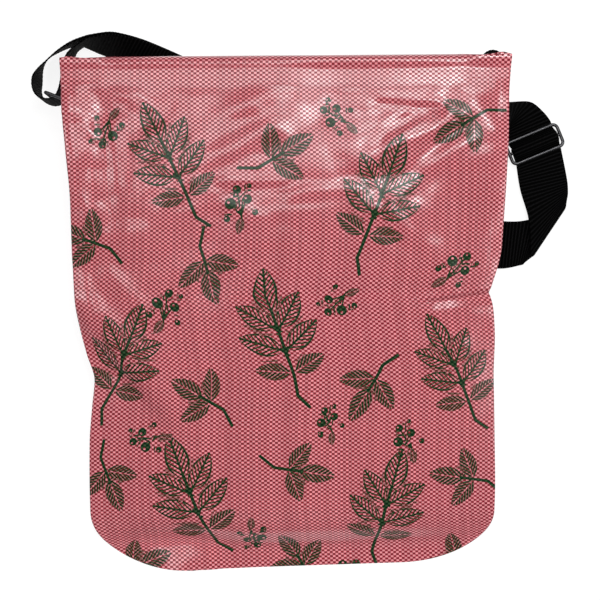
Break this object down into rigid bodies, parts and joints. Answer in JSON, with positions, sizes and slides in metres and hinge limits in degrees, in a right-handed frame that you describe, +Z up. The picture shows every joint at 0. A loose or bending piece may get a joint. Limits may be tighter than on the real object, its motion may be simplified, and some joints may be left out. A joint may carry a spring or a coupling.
{
  "type": "flap shoulder bag",
  "caption": "Flap shoulder bag of glossy printed sack cloth lying on its back, with a round-cornered full flap and a folded black webbing strap with metal ring and slider.",
  "frame": {"origin": "middle of the outline's box on the ground that the bag lies on", "axes": "+Z up out of the flap, +Y towards the bag's top edge, +X towards the side with the slider"},
  "size_m": [0.4212, 0.4264, 0.0505],
  "materials": {
    "sack_cloth": "glossy laminated plain weave of pink and deep red tapes with a dark green print",
    "webbing": "black ribbed polypropylene webbing",
    "metal": "nickel-plated wire, satin"
  },
  "bodies": {
    "root": {"back_panel": "sack_cloth", "front_panel": "sack_cloth", "gusset": "sack_cloth", "flap": "sack_cloth", "strap": "webbing", "tab_left": "webbing", "ring_left": "metal", "slider_right": "metal"}
  },
  "joints": []
}
